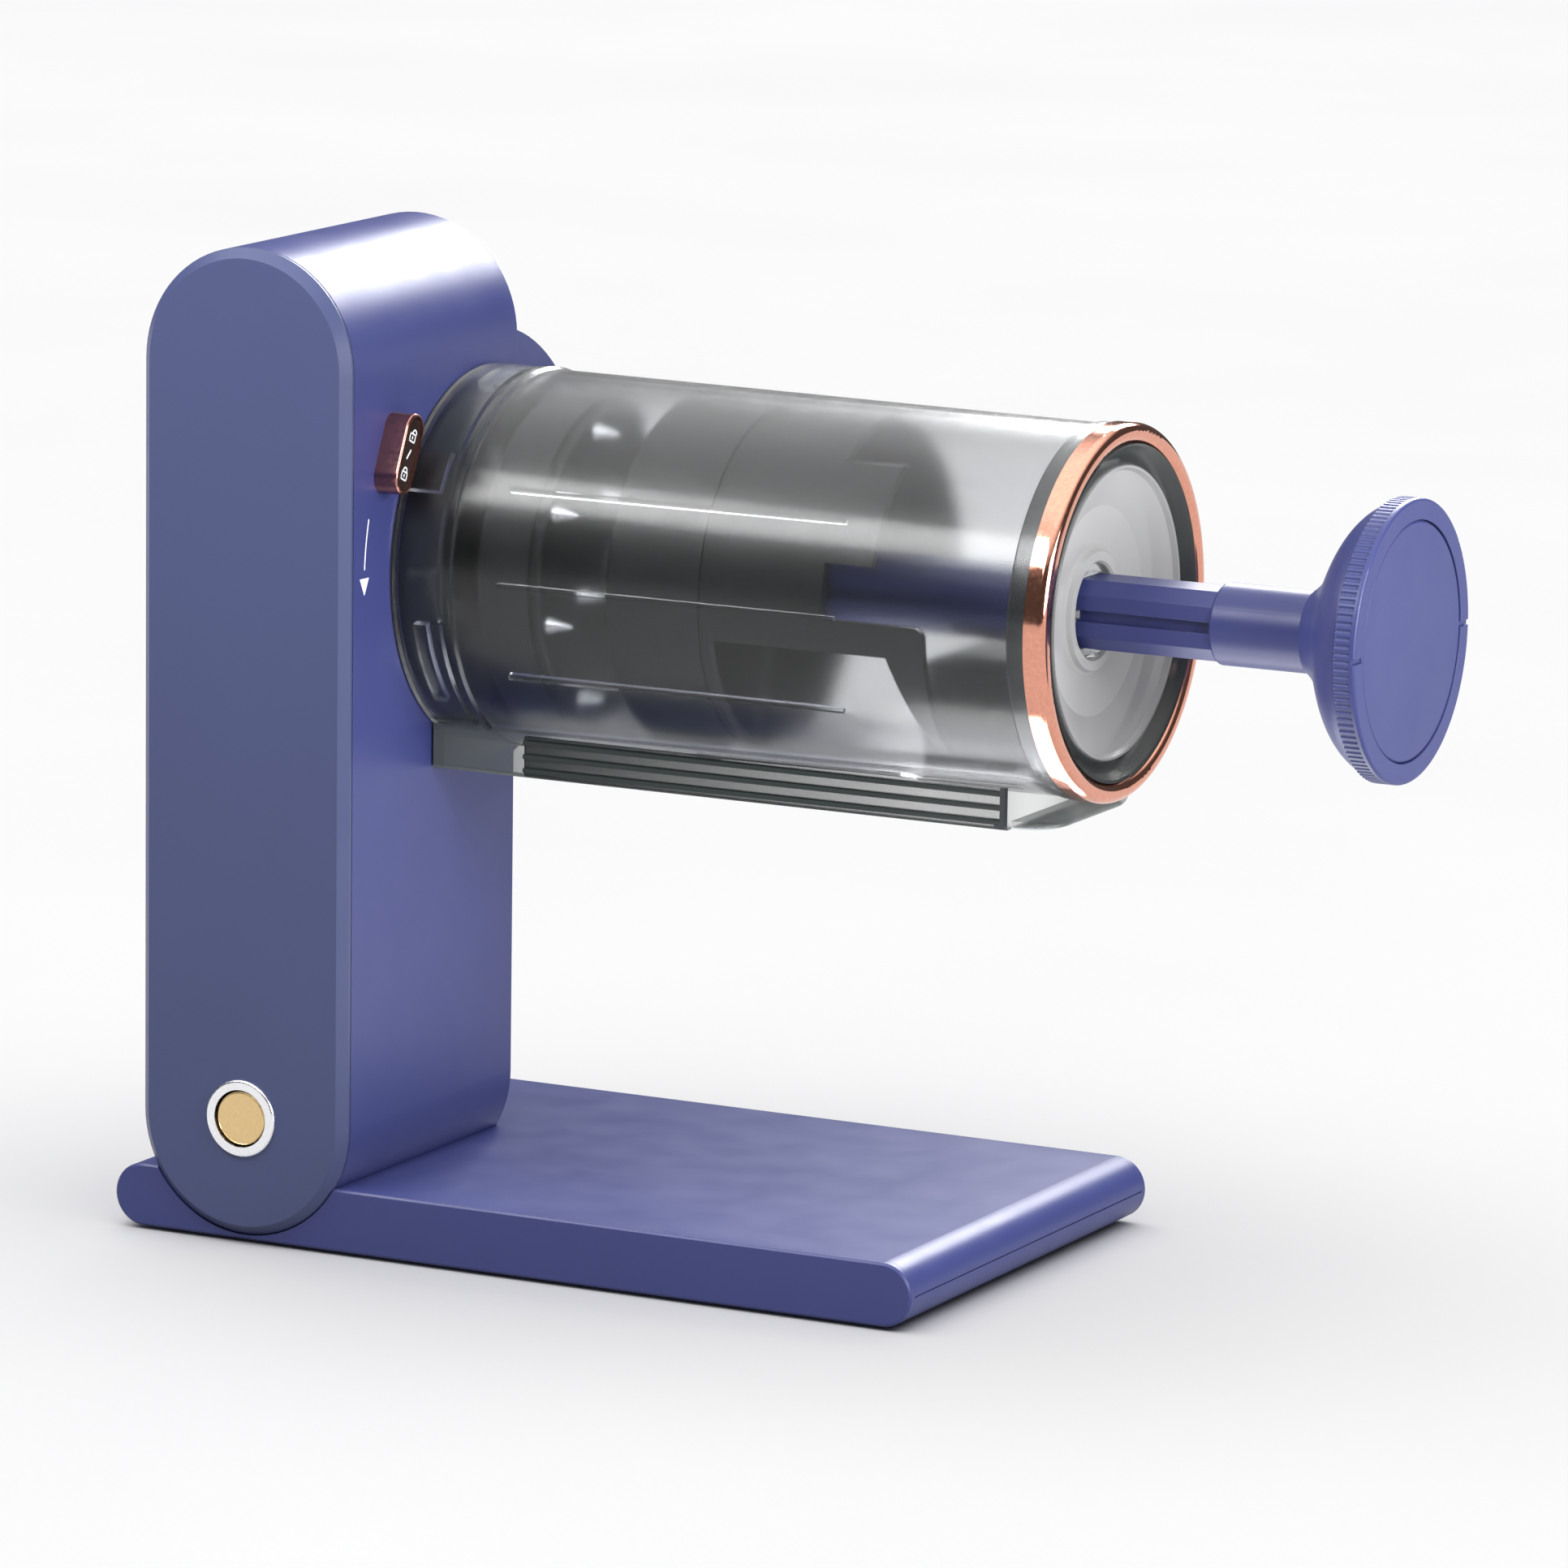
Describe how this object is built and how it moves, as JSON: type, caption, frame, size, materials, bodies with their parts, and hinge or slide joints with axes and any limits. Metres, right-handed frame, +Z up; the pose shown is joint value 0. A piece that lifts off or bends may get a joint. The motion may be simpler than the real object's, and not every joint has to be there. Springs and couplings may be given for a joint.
{
  "type": "shaved ice machine",
  "caption": "Electric shaved ice machine: blue column and base, level smoke-clear drum with a spiked drive plate, and a knob-pushed blade head over a chute.",
  "frame": {"origin": "middle of the machine's bounding box, on the surface that its feet stand on", "axes": "+Z up, +X along the drum from the column towards the knob, -Y the front with the start button"},
  "size_m": [0.3475, 0.1479, 0.271],
  "materials": {
    "blue_shell": "satin blue-violet moulding",
    "steel": "bright zinc or brushed",
    "rubber": "matt",
    "black_plastic": "fine texture",
    "brass": "machined",
    "bronze": "sintered",
    "silver_trim": "satin chrome",
    "gold_cap": "spun",
    "circuit_board": "solder mask",
    "rose_gold": "polished rose-gold plating",
    "dark_badge": "gloss",
    "lead_sheath": "PVC sheath",
    "smoke_clear": "smoke-grey clear, lightly frosted",
    "pale_clear": "pale grey clear",
    "dark_plastic": "satin",
    "gear_nylon": "natural nylon"
  },
  "bodies": {
    "stand": {"base_top_shell": "blue_shell", "base_bottom_tray": "blue_shell", "base_front_plate": "blue_shell", "base_rear_plate": "blue_shell", "base_ballast_plate": "steel", "base_screws": "steel", "rubber_feet": "rubber", "column_foot_screws": "steel", "column_housing": "blue_shell", "column_front_cover": "blue_shell", "rear_service_panel": "black_plastic", "service_panel_screws": "steel", "power_inlet": "black_plastic", "inlet_pins": "brass", "button_bezel": "silver_trim", "button_switch": "black_plastic", "control_board": "circuit_board", "lock_badge_rim": "rose_gold", "lock_badge_face": "dark_badge", "gearbox_outer_plate": "steel", "gearbox_motor_plate": "steel", "gearbox_pillars": "steel", "gearbox_screws": "steel", "gearbox_bushes": "bronze", "motor": "steel", "motor_leads": "lead_sheath", "drum_mount_ring": "black_plastic", "mount_ring_screws": "steel", "output_bush": "bronze", "shaft_seal": "rubber", "drum_gasket": "rubber"},
    "drum": {"drum_barrel": "smoke_clear", "drum_trim_ring": "rose_gold", "drum_end_cap": "smoke_clear", "rod_guide_bush": "smoke_clear", "chute": "pale_clear", "chute_side_rails": "pale_clear", "chute_end_stops": "black_plastic", "ice_deflector": "dark_plastic"},
    "plunger": {"blade_head_cup": "dark_plastic", "blade": "steel", "blade_screws": "steel", "blade_head_hood": "dark_plastic", "plunger_rod": "blue_shell", "plunger_sleeve": "blue_shell", "knob_back": "blue_shell", "knob_rim": "blue_shell", "knob_front_disc": "blue_shell", "knob_screw": "steel"},
    "drive": {"output_gear": "gear_nylon", "output_shaft": "steel", "drive_hub": "dark_plastic", "drive_plate": "dark_plastic", "drive_spikes": "steel", "drive_nut": "steel"},
    "layshaft": {"layshaft_gear": "gear_nylon", "layshaft_pinion": "steel"},
    "rotor": {"motor_shaft": "steel", "motor_pinion": "brass"},
    "button": {"button_cap": "gold_cap"}
  },
  "joints": [
    {"name": "drum_twist", "type": "hinge", "parent": "stand", "child": "drum", "pos_m": [-0.094, 0.001, 0.1824], "axis": [1, 0, 0], "range_deg": [0, 25]},
    {"name": "plunger_slide", "type": "slide", "parent": "drum", "child": "plunger", "axis": [1, 0, 0], "range_m": [-0.011, 0.024]},
    {"name": "drive_spin", "type": "hinge", "parent": "stand", "child": "drive", "pos_m": [-0.141, 0.001, 0.1824], "axis": [1, 0, 0], "continuous": true},
    {"name": "layshaft_spin", "type": "hinge", "parent": "stand", "child": "layshaft", "pos_m": [-0.15, -0.02562, 0.1253], "axis": [1, 0, 0], "continuous": true},
    {"name": "rotor_spin", "type": "hinge", "parent": "stand", "child": "rotor", "pos_m": [-0.15, -0.01536, 0.09711], "axis": [1, 0, 0], "continuous": true},
    {"name": "button_press", "type": "slide", "parent": "stand", "child": "button", "axis": [0, 1, 0], "range_m": [0, 0.0015], "stiffness_N_per_m": 600, "springref_m": -0.001}
  ],
  "couplings": [
    {"joint": "layshaft_spin", "follows": "drive_spin", "ratio": -6},
    {"joint": "rotor_spin", "follows": "drive_spin", "ratio": 24}
  ]
}
